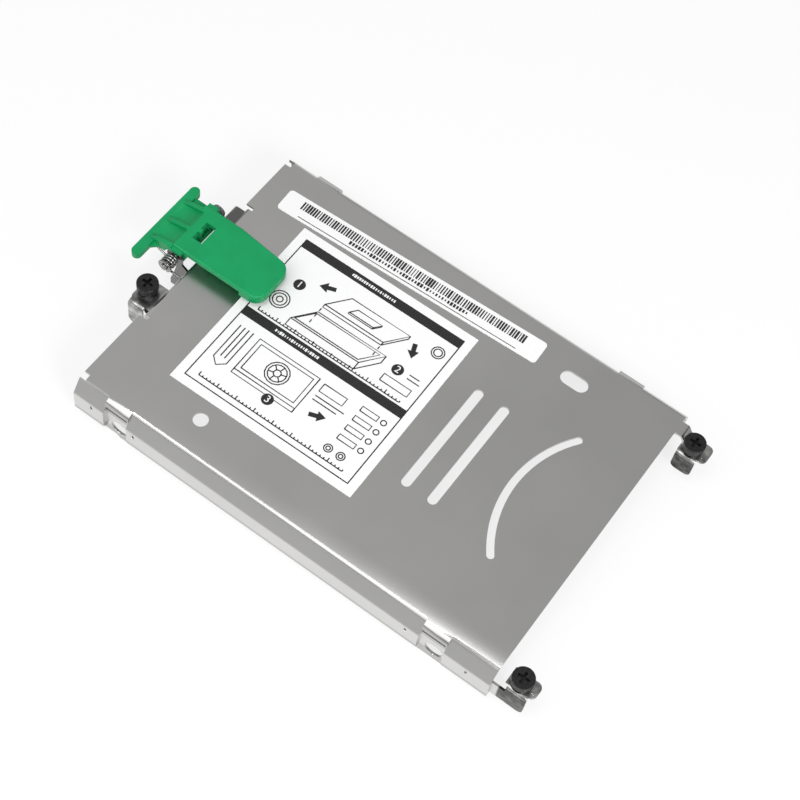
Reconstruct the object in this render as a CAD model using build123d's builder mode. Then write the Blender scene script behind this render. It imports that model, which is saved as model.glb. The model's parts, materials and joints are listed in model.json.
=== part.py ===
from build123d import *

import os
from math import asin, atan, degrees, hypot

# Laptop drive caddy: a folded stainless tray for a 2.5 inch drive, with an ejector lever.
#
# Millimetres. +X runs along the tray from its latch end to its connector end, +Y to its back,
# +Z up out of the plate. The origin is the middle of the whole caddy's footprint, on the floor.
# Sizes ending in _IN are measured from the plate's latch edge towards the connector end, and
# those ending in _OUT outwards from the nearest edge of the plate. _UP and _DOWN are measured
# from the plate's top face, _Y backwards from the plate's front edge, and _FWD forwards from its
# back edge.

# Sheet and plate
SHEET = 0.5
BEND_R = 0.5
PLATE_L = 100.4
PLATE_W = 68.1
WALL_H = 11.0
END_RISE = 0.7
END_RISE_L = 10.0
END_SLOPE_L = 1.5
END_TIP_RISE = 1.7

# Side wall section: shoulder, embossed rib and screw pads
PAD_OUT = 1.44
RIB_OUT = 2.3
SHOULDER_DOWN = 3.5
RIB_DOWN = 8.9
RIB_STEP = 0.6
AWNING_DOWN = 0.85
AWNING_SLIT = 0.7
AWNING_SLIT_DOWN = 1.8
AWNING_SIDE = 0.25

# Drive screw holes, each in its pad, and the punch marks on the ribs beside them
DRIVE_HOLE_R = 2.0
DRIVE_HOLE_DOWN = 7.2
DRIVE_HOLE_IN = 10.85
DRIVE_HOLE_SPACING = 76.6
PAD_L = 5.8
PAD_SHIFT = -0.5
MARK_OFFSETS = ((-6.4, 4.2), (-6.3, 7.7))
MARK_DOWN = 4.7
MARK_L = 1.5
MARK_W = 0.5

# Plate openings
ROUND_HOLE_R = 1.6
ROUND_HOLE_IN = 24.55
ROUND_HOLE_Y = 7.15
SHORT_SLOT_L = 6.3
SHORT_SLOT_W = 3.3
SHORT_SLOT_IN = 78.0
SHORT_SLOT_FWD = 7.4
LONG_SLOT_L = 27.1
LONG_SLOT_W = 2.1
LONG_SLOT_IN = 64.3
LONG_SLOT_PITCH = 6.25
LONG_SLOT_Y = 33.6
ARC_SLOT_R = 26.5
ARC_SLOT_W = 1.6
ARC_SLOT_IN = 80.85
ARC_SLOT_Y = 34.1
ARC_SLOT_HALF_TURN = 36.6

# Latch apron, bent down from a stepped stretch of the latch edge, and the relief cuts
APRON_IN = 0.6
APRON_START_Y = 19.0
APRON_END_Y = 52.5
APRON_LIFT = 1.0
RELIEF_W = 0.8
RELIEF_IN = 2.0
CORNER_RELIEF_IN = 1.4
CORNER_RELIEF_Y = 1.5

# Guide tab, curled over, behind the lever
GUIDE_OUT = 2.4
GUIDE_DOWN = 1.5
GUIDE_Y = 48.4
GUIDE_W = 4.0
GUIDE_CURL = 1.8

# Screw ears: a flange below the plate, with a stiffening wall bent down on its front side
EAR_DOWN = 1.5
EAR_OUT = 8.4
EAR_GAP_OUT = 2.1
EAR_WALL_L = 4.5
EAR_CORNER_R = 1.2
FRONT_EAR_DEPTH = 4.65
FRONT_WALL_OUT = 2.8
FRONT_WALL_H = 6.6
REAR_EAR_DEPTH = 5.4
REAR_EAR_FWD = 7.3
REAR_WALL_OUT = 2.2
REAR_WALL_H = 5.6
DIMPLE_R = 0.45
DIMPLE_DEEP = 0.3
DIMPLE_INSET = 0.85
DIMPLE_SET_BACK = 1.7
ARM_DOWN = 3.5
ARM_H = 4.5
STRAP_W = 3.1
STRAP_SET_BACK = 2.8
STRAP_REACH = 1.7
STRAP_SLOPE_L = 0.9
LATCH_EAR_OUT = 4.95
LATCH_EAR_Y = 20.0
LATCH_EAR_DEPTH = 7.2
LATCH_WALL_GAP = 0.35
LATCH_WALL_L = 3.7
LATCH_WALL_H = 7.0

# Captive screws, their collars and retaining rings
SCREW_OUT = 4.65
SCREW_SET_BACK = 2.4
LATCH_SCREW_OUT = 2.9
LATCH_SCREW_SET_BACK = 4.4
JOURNAL_R = 1.2
JOURNAL_END = 0.4
THREAD_R = 1.0
THREAD_L = 4.7
HEAD_R = 2.3
HEAD_H = 1.7
HEAD_EDGE = 0.2
RECESS_L = 2.5
RECESS_W = 0.6
RECESS_DEEP = 0.9
HEAD_GAP = 0.1
RIM_R = 2.05
RIM_WALL = 0.45
RIM_H = 1.4
CUP_FLOOR = 0.35
WINDOW_W = 1.5
WINDOW_SILL = 0.1
SLEEVE_WALL = 0.3
RUN_FIT = 0.05
LIFT = 1.4
LIFT_SPARE = 0.3
RING_R = 1.8
RING_T = 0.4
RING_GROOVE = 0.4
RING_MOUTH = 1.0
RING_FIT = 0.03

# Pivot pin, its clip and its ears on the apron
PIVOT_OUT = 3.0
PIVOT_UP = 1.0
PIN_R = 0.8
PIN_FIT = 0.04
PIN_HEAD_R = 1.5
PIN_HEAD_T = 0.7
PIN_END = 0.4
CLIP_R = 1.6
CLIP_T = 0.4
CLIP_GROOVE = 0.25
CLIP_MOUTH = 0.8
CLIP_GAP = 0.1
PIVOT_EAR_R = 1.9
PIVOT_NECK_IN = 0.7
PIVOT_SHIN_OUT = 0.4
PIVOT_SHIN_DOWN = 6.8
PIVOT_FOOT_OUT = 1.2
PIVOT_FOOT_DOWN = 9.2
PIVOT_BROW_DOWN = 2.4
LANCE_L = 4.2
LANCE_GAP = 0.4
LANCE_MARGIN = 1.0

# Lever
LEVER_Y = 40.2
HUB_W = 12.6
HUB_R = 2.1
LEVER_GAP = 0.3
BLADE_UP = 3.3
BLADE_T = 1.1
BLADE_IN = 18.4
BLADE_W = 12.1
BLADE_TIP_W = 10.7
BLADE_SET_BACK = 0.5
BLADE_TAPER_IN = 5.0
BLADE_TIP_R = 2.7
BLADE_EDGE_R = 0.4
LIP_H = 1.2
LIP_W = 1.0
LIP_L = 5.0
BODY_OUT = 4.4
WING_L = 3.4
WING_W = 0.9
NUB_L = 1.2
NUB_W = 1.3
NUB_OUT = 2.6
BODY_WALL = 0.3
WINDOW_SLOT_IN = 0.8
WINDOW_SLOT_L = 2.4
WINDOW_SLOT_W = 4.8
WINDOW_SLOT_Y = 39.6
TOOTH_L = 0.6
TOOTH_W = 0.9
WEB_UP = 1.45
WEB_T = 0.8
WEB_FLARE = 2.6
CROSSBAR_REACH = 7.2
CROSSBAR_W = 2.2
CROSSBAR_Y = 38.0
CROSSBAR_L = 21.0
CROSSBAR_UP = 1.25
CROSSBAR_T = 1.6
GUSSET_W = 1.0
GUSSET_PITCH = 5.45
GUSSET_Y = 38.6
GUSSET_BULGE = 0.25
SCOOP_LEDGE = 0.9
SCOOP_DEEP = 0.8
SCOOP_IN = 0.9

# Torsion spring
WIRE_R = 0.25
COIL_GAP = 0.3
COIL_TURNS = 3
COIL_PITCH = 0.62
LEG_REACH = 4.4
LEG_GAP = 0.1
COIL_END_GAP = 0.4

# Barcode label and its print
LABEL_T = 0.1
INK_T = 0.04
LABEL_CORNER_R = 0.8
LONG_LABEL_L = 64.0
LONG_LABEL_W = 5.6
LONG_LABEL_IN = 37.2
LONG_LABEL_FWD = 7.5
LONG_LABEL_TURN = 2.2
BAR_H = 2.0
BAR_BACK = 0.8
BAR_PITCH = 0.9
BAR_COUNT = 62
BAR_WIDTHS = (0.2, 0.5, 0.3, 0.2, 0.65, 0.3, 0.5)
RULE_W = 0.16
RULE_L = 55.0
RULE_BACK = -2.1

# Instruction label and its print
CARD_L = 44.1
CARD_IN = 35.4
CARD_Y = 11.35
CARD_FWD = 11.85
CARD_TURN = 0.5
CARD_MARGIN = 2.0
FRAME_LINE = 0.25
BAND_W = 2.2
BAND_MIDDLE = -1.2
DISC_R = 1.3
DISC_SPOTS = ((-14.5, 10.5), (13.0, 6.5), (-3.5, -15.0))
ARROW_L = 3.6
ARROW_W = 2.4
ARROW_HEAD_L = 1.8
ARROW_SHAFT_W = 1.0
ARROW_SPOTS = ((-9.5, 13.5, 20), (13.0, 12.0, 110), (6.5, -12.0, 200))

# Places worked out from the sizes above
TOTAL_L = PIVOT_OUT + CROSSBAR_REACH + PLATE_L + EAR_OUT
X_LATCH = PIVOT_OUT + CROSSBAR_REACH - TOTAL_L / 2
X_CONN = X_LATCH + PLATE_L
Y_FRONT = -PLATE_W / 2
Z_PLATE = WALL_H
Z_EAR = Z_PLATE - EAR_DOWN
BEND_OUT_R = BEND_R + SHEET
X_APRON = X_LATCH + APRON_IN
X_PIVOT = X_LATCH - PIVOT_OUT
Z_PIVOT = Z_PLATE + PIVOT_UP
HOLE_XS = [X_LATCH + DRIVE_HOLE_IN, X_LATCH + DRIVE_HOLE_IN + DRIVE_HOLE_SPACING]
Y_FRONT_EAR = Y_FRONT - PAD_OUT
Y_REAR_EAR = -Y_FRONT - REAR_EAR_FWD
Y_LATCH_EAR = Y_FRONT + LATCH_EAR_Y
SCREW_SPOTS = {
    "latch": (X_LATCH - LATCH_SCREW_OUT, Y_LATCH_EAR + LATCH_SCREW_SET_BACK),
    "front": (X_CONN + SCREW_OUT, Y_FRONT_EAR + SCREW_SET_BACK),
    "rear": (X_CONN + SCREW_OUT, Y_REAR_EAR + SCREW_SET_BACK),
}
SLEEVE_BORE_R = JOURNAL_R + RUN_FIT
SLEEVE_R = SLEEVE_BORE_R + SLEEVE_WALL
Z_RING = Z_EAR - SHEET - LIFT - LIFT_SPARE - RING_T
Z_THREAD = Z_RING - JOURNAL_END
Z_HEAD = Z_EAR + RIM_H + HEAD_GAP
Y_LEVER = Y_FRONT + LEVER_Y
Y_HUB = Y_LEVER - HUB_W / 2
Y_NEAR_EAR = Y_HUB - LEVER_GAP - SHEET
Y_FAR_EAR = Y_HUB + HUB_W + LEVER_GAP
Z_BLADE = Z_PLATE + BLADE_UP
Z_WEB = Z_PLATE + WEB_UP
X_BODY = X_LATCH - BODY_OUT
X_CROSSBAR = X_PIVOT - CROSSBAR_REACH
Z_CROSSBAR = Z_PLATE + CROSSBAR_UP
X_TIP = X_LATCH + BLADE_IN
Y_BLADE = Y_HUB - BLADE_SET_BACK
COIL_R = PIN_R + COIL_GAP + WIRE_R
COIL_L = COIL_TURNS * COIL_PITCH
Y_COIL = Y_NEAR_EAR - COIL_END_GAP - WIRE_R - COIL_L
Y_CLIP = Y_COIL - WIRE_R - CLIP_GAP - CLIP_T
ON_FLOOR = (Align.CENTER, Align.CENTER, Align.MIN)
FROM_TOP = (Align.CENTER, Align.CENTER, Align.MAX)

os.makedirs("parts", exist_ok=True)


def side_outline(kind):
    """The tray's cross-section on one side, as (outwards, downwards) from the plate's edge."""
    if kind == "pad":
        return [(0, 0), (PAD_OUT, AWNING_DOWN), (PAD_OUT, WALL_H)]
    if kind == "bay":
        return [(0, 0), (PAD_OUT, SHOULDER_DOWN * PAD_OUT / RIB_OUT), (PAD_OUT, WALL_H)]
    return [
        (0, 0),
        (RIB_OUT, SHOULDER_DOWN),
        (RIB_OUT, RIB_DOWN),
        (PAD_OUT, RIB_DOWN + RIB_STEP),
        (PAD_OUT, WALL_H),
    ]


def tray_section(kind, start, end, inset=0, mode=Mode.ADD):
    """A solid stretch of the tray's section, or of the hollow under its sheet where inset."""
    half = side_outline(kind)
    half[-1] = (PAD_OUT, WALL_H + 2 * inset)
    back = [(PLATE_W / 2 + out, Z_PLATE - down) for out, down in half]
    front = [(-y, z) for y, z in reversed(back)]
    with BuildSketch(Plane.YZ.offset(start)) as section:
        with BuildLine():
            Polyline(*back, *front, close=True)
        make_face()
        if inset:
            offset(amount=-inset, kind=Kind.INTERSECTION, mode=Mode.REPLACE)
        bends = section.vertices().group_by(Axis.Y)
        fillet(bends[-1] + bends[-2], BEND_OUT_R - inset)
    extrude(section.sketch, amount=end - start, mode=mode)


def bent_strip(plane, points, bend, side, width):
    """A bent strip: its face follows the points on the plane, and its sheet lies on one side."""
    with BuildSketch(plane) as profile:
        with BuildLine():
            FilletPolyline(*points, radius=bend)
            offset(amount=SHEET, side=side)
        make_face()
    extrude(profile.sketch, amount=width)


def ear(x_from, x_to, wall_from, wall_l, y_wall, depth, wall_h):
    """A screw ear: the wall with its bend, then the flange behind the bend."""
    top = [(y_wall + depth, Z_EAR), (y_wall, Z_EAR), (y_wall, Z_EAR - wall_h)]
    bent_strip(Plane.YZ.offset(wall_from), top, BEND_OUT_R, Side.LEFT, wall_l)
    corners = edges(Select.LAST).filter_by(Axis.Y).group_by(Axis.Z)[0]
    fillet(corners, EAR_CORNER_R)
    with BuildSketch(Plane.XY.offset(Z_EAR - SHEET)) as flange:
        with Locations(((x_from + x_to) / 2, y_wall + (BEND_OUT_R + depth) / 2)):
            Rectangle(x_to - x_from, depth - BEND_OUT_R)
        outer = flange.vertices().sort_by(lambda corner: abs(corner.X))[-2:]
        fillet(outer, EAR_CORNER_R)
    extrude(flange.sketch, amount=SHEET)


def pivot_ear(y_near):
    """One pivot ear, standing out from the apron, with its near face at y_near."""
    with BuildSketch(Plane.XZ.offset(-y_near)) as outline:
        with BuildLine():
            Polyline(
                (X_APRON + SHEET, Z_PLATE - PIVOT_BROW_DOWN),
                (X_PIVOT + PIVOT_EAR_R, Z_PIVOT - PIVOT_EAR_R),
                (X_PIVOT + PIVOT_EAR_R, Z_PIVOT),
                (X_PIVOT - PIVOT_EAR_R, Z_PIVOT),
                (X_PIVOT + PIVOT_NECK_IN, Z_PIVOT - PIVOT_EAR_R),
                (X_PIVOT - PIVOT_SHIN_OUT, Z_PIVOT - PIVOT_SHIN_DOWN),
                (X_PIVOT - PIVOT_FOOT_OUT, Z_PIVOT - PIVOT_FOOT_DOWN),
                (X_PIVOT - PIVOT_FOOT_OUT, APRON_LIFT),
                (X_APRON + SHEET, APRON_LIFT),
                close=True,
            )
        make_face()
        with Locations((X_PIVOT, Z_PIVOT)):
            Circle(PIVOT_EAR_R)
            Circle(PIN_R + PIN_FIT, mode=Mode.SUBTRACT)
    extrude(outline.sketch, amount=-SHEET)


# Tray
PAD_ZONES = [(x + PAD_SHIFT - PAD_L / 2, x + PAD_SHIFT + PAD_L / 2) for x in HOLE_XS]
RIB_ZONES = [
    (X_LATCH, PAD_ZONES[0][0]),
    (PAD_ZONES[0][1], PAD_ZONES[1][0]),
    (PAD_ZONES[1][1], X_CONN),
]

with BuildPart() as tray:
    for start, end in RIB_ZONES:
        tray_section("rib", start, end)
    for start, end in PAD_ZONES:
        tray_section("pad", start, end)
    for start, end in RIB_ZONES:
        tray_section("rib", start + SHEET, end - SHEET, SHEET, Mode.SUBTRACT)
    for start, end in PAD_ZONES:
        tray_section("pad", start, end, SHEET, Mode.SUBTRACT)
    tray_section("bay", X_LATCH - SHEET, X_CONN + SHEET, SHEET, Mode.SUBTRACT)

    # Wall bottoms, which rise at both ends
    with BuildSketch(Plane.XZ):
        for end_x, inward in ((X_LATCH, 1), (X_CONN, -1)):
            with BuildLine():
                Polyline(
                    (end_x - inward, -SHEET),
                    (end_x - inward, END_TIP_RISE),
                    (end_x, END_TIP_RISE),
                    (end_x + inward * END_SLOPE_L, END_RISE),
                    (end_x + inward * END_RISE_L, END_RISE),
                    (end_x + inward * (END_RISE_L + END_SLOPE_L), -SHEET),
                    close=True,
                )
            make_face()
    extrude(amount=PLATE_W, both=True, mode=Mode.SUBTRACT)

    # Drive screw holes, punch marks and the slits under the awnings, through both walls
    with BuildSketch(Plane.XZ):
        with Locations(*[(x, Z_PLATE - DRIVE_HOLE_DOWN) for x in HOLE_XS]):
            Circle(DRIVE_HOLE_R)
        for hole_x, offsets in zip(HOLE_XS, MARK_OFFSETS):
            with Locations(*[(hole_x + along, Z_PLATE - MARK_DOWN) for along in offsets]):
                SlotOverall(MARK_L, MARK_W, rotation=90)
        for start, end in PAD_ZONES:
            with Locations(((start + end) / 2, Z_PLATE - AWNING_SLIT_DOWN)):
                slit_l = end - start - 2 * AWNING_SIDE
                Rectangle(slit_l, AWNING_SLIT, align=(Align.CENTER, Align.MAX))
    extrude(amount=PLATE_W, both=True, mode=Mode.SUBTRACT)

    # Openings in the plate
    with BuildSketch(Plane.XY.offset(Z_PLATE)):
        with Locations((X_LATCH + ROUND_HOLE_IN, Y_FRONT + ROUND_HOLE_Y)):
            Circle(ROUND_HOLE_R)
        with Locations((X_LATCH + SHORT_SLOT_IN, -Y_FRONT - SHORT_SLOT_FWD)):
            SlotOverall(SHORT_SLOT_L, SHORT_SLOT_W)
        for row in range(2):
            slot_x = X_LATCH + LONG_SLOT_IN + row * LONG_SLOT_PITCH
            with Locations((slot_x, Y_FRONT + LONG_SLOT_Y)):
                SlotOverall(LONG_SLOT_L, LONG_SLOT_W, rotation=90)
        with BuildLine():
            CenterArc(
                (X_LATCH + ARC_SLOT_IN + ARC_SLOT_R, Y_FRONT + ARC_SLOT_Y),
                ARC_SLOT_R,
                180 - ARC_SLOT_HALF_TURN,
                2 * ARC_SLOT_HALF_TURN,
            )
            offset(amount=ARC_SLOT_W / 2)
        make_face()
        # The stepped stretch of the latch edge with its relief cuts, and the corner reliefs
        apron_l = APRON_END_Y - APRON_START_Y
        with Locations((X_LATCH, Y_FRONT + APRON_START_Y - RELIEF_W)):
            Rectangle(RELIEF_IN, apron_l + 2 * RELIEF_W, align=(Align.MIN, Align.MIN))
        for y, side in ((Y_FRONT, Align.MIN), (-Y_FRONT, Align.MAX)):
            with Locations((X_LATCH, y)):
                Rectangle(CORNER_RELIEF_IN, CORNER_RELIEF_Y, align=(Align.MIN, side))
    extrude(amount=2 * SHEET, both=True, mode=Mode.SUBTRACT)

    # Apron
    apron = [
        (X_LATCH + RELIEF_IN + BEND_OUT_R, Z_PLATE),
        (X_APRON, Z_PLATE),
        (X_APRON, APRON_LIFT),
    ]
    apron_plane = Plane.XZ.offset(-Y_FRONT - APRON_END_Y)
    bent_strip(apron_plane, apron, BEND_OUT_R, Side.LEFT, APRON_END_Y - APRON_START_Y)

    # Pivot ears, lanced out of the apron between them
    pivot_ear(Y_NEAR_EAR)
    pivot_ear(Y_FAR_EAR)
    lance_top = Z_PLATE - PIVOT_BROW_DOWN
    lance_h = lance_top - APRON_LIFT - LANCE_MARGIN
    with BuildSketch(Plane.YZ.offset(X_APRON)):
        near_y = Y_NEAR_EAR + SHEET + LANCE_GAP + LANCE_L / 2
        far_y = Y_FAR_EAR - LANCE_GAP - LANCE_L / 2
        with Locations((near_y, lance_top - lance_h / 2), (far_y, lance_top - lance_h / 2)):
            Rectangle(LANCE_L, lance_h)
    extrude(amount=2 * SHEET, both=True, mode=Mode.SUBTRACT)

    # Guide tab
    guide = [
        (X_APRON + SHEET, Z_PLATE - GUIDE_DOWN),
        (X_LATCH - GUIDE_OUT, Z_PLATE - GUIDE_DOWN),
        (X_LATCH - GUIDE_OUT, Z_PLATE - GUIDE_DOWN - GUIDE_CURL),
    ]
    guide_plane = Plane.XZ.offset(-Y_FRONT - GUIDE_Y - GUIDE_W)
    bent_strip(guide_plane, guide, BEND_OUT_R, Side.LEFT, GUIDE_W)

    # Screw ears
    ear_from = X_CONN + EAR_GAP_OUT
    ear_to = X_CONN + EAR_OUT
    front_wall = X_CONN + FRONT_WALL_OUT
    rear_wall = X_CONN + REAR_WALL_OUT
    latch_from = X_LATCH - LATCH_EAR_OUT
    latch_to = X_APRON + SHEET
    latch_wall = latch_from + LATCH_WALL_GAP
    ear(ear_from, ear_to, front_wall, EAR_WALL_L, Y_FRONT_EAR, FRONT_EAR_DEPTH, FRONT_WALL_H)
    ear(ear_from, ear_to, rear_wall, EAR_WALL_L, Y_REAR_EAR, REAR_EAR_DEPTH, REAR_WALL_H)
    ear(latch_from, latch_to, latch_wall, LATCH_WALL_L, Y_LATCH_EAR, LATCH_EAR_DEPTH, LATCH_WALL_H)

    # Arm from the front wall to the front ear, and joggled strap from the plate to the rear ear
    arm_l = SHEET + FRONT_WALL_OUT + BEND_R
    with Locations((X_CONN - SHEET, Y_FRONT_EAR, Z_PLATE - ARM_DOWN)):
        Box(arm_l, SHEET, ARM_H, align=(Align.MIN, Align.MIN, Align.MAX))
    strap_x = X_CONN + STRAP_REACH
    strap = [
        (X_CONN - BEND_OUT_R, Z_PLATE),
        (strap_x, Z_PLATE),
        (strap_x + STRAP_SLOPE_L, Z_EAR),
        (strap_x + STRAP_SLOPE_L + BEND_OUT_R, Z_EAR),
    ]
    strap_plane = Plane.XZ.offset(-Y_REAR_EAR - STRAP_SET_BACK - STRAP_W)
    bent_strip(strap_plane, strap, BEND_R, Side.RIGHT, STRAP_W)

    # Screw holes in the ears, and the punched dimples beside them on the connector side
    with BuildSketch(Plane.XY.offset(Z_EAR - SHEET)):
        with Locations(*SCREW_SPOTS.values()):
            Circle(SLEEVE_R + RUN_FIT)
    extrude(amount=2 * SHEET, both=True, mode=Mode.SUBTRACT)
    with BuildSketch(Plane.XY.offset(Z_EAR)):
        dimple_x = ear_to - DIMPLE_INSET
        dimples = [(dimple_x, y_wall + DIMPLE_SET_BACK) for y_wall in (Y_FRONT_EAR, Y_REAR_EAR)]
        with Locations(*dimples):
            Circle(DIMPLE_R)
    extrude(amount=-DIMPLE_DEEP, mode=Mode.SUBTRACT)

tray.part.label = "tray"
export_step(tray.part, "parts/tray.step")


# Captive screws, each with the collar that it turns in and the ring that keeps it in its ear
for name, (screw_x, screw_y) in SCREW_SPOTS.items():
    with BuildPart() as screw:
        with Locations((screw_x, screw_y, Z_HEAD)):
            Cylinder(HEAD_R, HEAD_H, align=ON_FLOOR)
            Cylinder(JOURNAL_R, Z_HEAD - Z_THREAD, align=FROM_TOP)
        with Locations((screw_x, screw_y, Z_THREAD)):
            Cylinder(THREAD_R, THREAD_L, align=FROM_TOP)
        chamfer(screw.edges().group_by(Axis.Z)[-1], HEAD_EDGE)
        chamfer(screw.edges().group_by(Axis.Z)[0], HEAD_EDGE)
        with BuildSketch(Plane.XY.offset(Z_HEAD + HEAD_H)):
            with Locations((screw_x, screw_y)):
                Rectangle(RECESS_L, RECESS_W)
                Rectangle(RECESS_W, RECESS_L)
        extrude(amount=-RECESS_DEEP, mode=Mode.SUBTRACT)
        with BuildSketch(Plane.XY.offset(Z_RING)):
            with Locations((screw_x, screw_y)):
                Circle(JOURNAL_R)
                Circle(JOURNAL_R - RING_GROOVE, mode=Mode.SUBTRACT)
        extrude(amount=RING_T, mode=Mode.SUBTRACT)
    screw.part.label = f"{name}_screw"
    export_step(screw.part, f"parts/{name}_screw.step")

    with BuildPart() as collar:
        with Locations((screw_x, screw_y, Z_EAR)):
            Cylinder(RIM_R, RIM_H, align=ON_FLOOR)
            Cylinder(SLEEVE_R, SHEET + LIFT, align=FROM_TOP)
        with Locations((screw_x, screw_y, Z_EAR + CUP_FLOOR)):
            Cylinder(RIM_R - RIM_WALL, RIM_H, align=ON_FLOOR, mode=Mode.SUBTRACT)
            window_h = RIM_H - CUP_FLOOR - WINDOW_SILL
            Box(WINDOW_W, 3 * RIM_R, window_h / 2, align=ON_FLOOR, mode=Mode.SUBTRACT)
            Box(3 * RIM_R, WINDOW_W, window_h / 2, align=ON_FLOOR, mode=Mode.SUBTRACT)
        with Locations((screw_x, screw_y, Z_EAR)):
            Cylinder(SLEEVE_BORE_R, 3 * (SHEET + LIFT), mode=Mode.SUBTRACT)
    collar.part.label = f"{name}_collar"
    export_step(collar.part, f"parts/{name}_collar.step")

    with BuildPart() as ring:
        with BuildSketch(Plane.XY.offset(Z_RING)):
            with Locations((screw_x, screw_y)):
                Circle(RING_R)
                Circle(JOURNAL_R - RING_GROOVE + RING_FIT, mode=Mode.SUBTRACT)
                Rectangle(2 * RING_R, RING_MOUTH, align=(Align.MIN, Align.CENTER), mode=Mode.SUBTRACT)
        extrude(amount=RING_T)
    ring.part.label = f"{name}_ring"
    export_step(ring.part, f"parts/{name}_ring.step")


# Pivot pin, with its head on the far ear and its clip beyond the spring
with BuildPart() as pivot_pin:
    with BuildSketch(Plane.XZ.offset(-Y_CLIP + PIN_END)):
        with Locations((X_PIVOT, Z_PIVOT)):
            Circle(PIN_R)
    extrude(amount=-(Y_FAR_EAR + SHEET - Y_CLIP + PIN_END))
    with BuildSketch(Plane.XZ.offset(-Y_FAR_EAR - SHEET)):
        with Locations((X_PIVOT, Z_PIVOT)):
            Circle(PIN_HEAD_R)
    extrude(amount=-PIN_HEAD_T)
    with BuildSketch(Plane.XZ.offset(-Y_CLIP)):
        with Locations((X_PIVOT, Z_PIVOT)):
            Circle(PIN_R)
            Circle(PIN_R - CLIP_GROOVE, mode=Mode.SUBTRACT)
    extrude(amount=-CLIP_T, mode=Mode.SUBTRACT)
pivot_pin.part.label = "pivot_pin"
export_step(pivot_pin.part, "parts/pivot_pin.step")

with BuildPart() as pivot_clip:
    with BuildSketch(Plane.XZ.offset(-Y_CLIP)):
        with Locations((X_PIVOT, Z_PIVOT)):
            Circle(CLIP_R)
            Circle(PIN_R - CLIP_GROOVE + RING_FIT, mode=Mode.SUBTRACT)
            Rectangle(CLIP_MOUTH, 2 * CLIP_R, align=(Align.CENTER, Align.MAX), mode=Mode.SUBTRACT)
    extrude(amount=-CLIP_T)
pivot_clip.part.label = "pivot_clip"
export_step(pivot_clip.part, "parts/pivot_clip.step")


def blade_face(inset):
    """The blade's outline, seen from above, or one that lies inside it by the inset."""
    with BuildSketch(Plane.XY.offset(Z_BLADE)) as face:
        with BuildLine():
            Polyline(
                (X_BODY, Y_BLADE),
                (X_TIP, Y_BLADE),
                (X_TIP, Y_BLADE + BLADE_TIP_W),
                (X_LATCH + BLADE_TAPER_IN, Y_BLADE + BLADE_W),
                (X_BODY, Y_BLADE + BLADE_W),
                close=True,
            )
        make_face()
        fillet(face.vertices().group_by(Axis.X)[-1], BLADE_TIP_R)
        if inset:
            offset(amount=-inset, mode=Mode.REPLACE)
    return face.sketch


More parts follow.
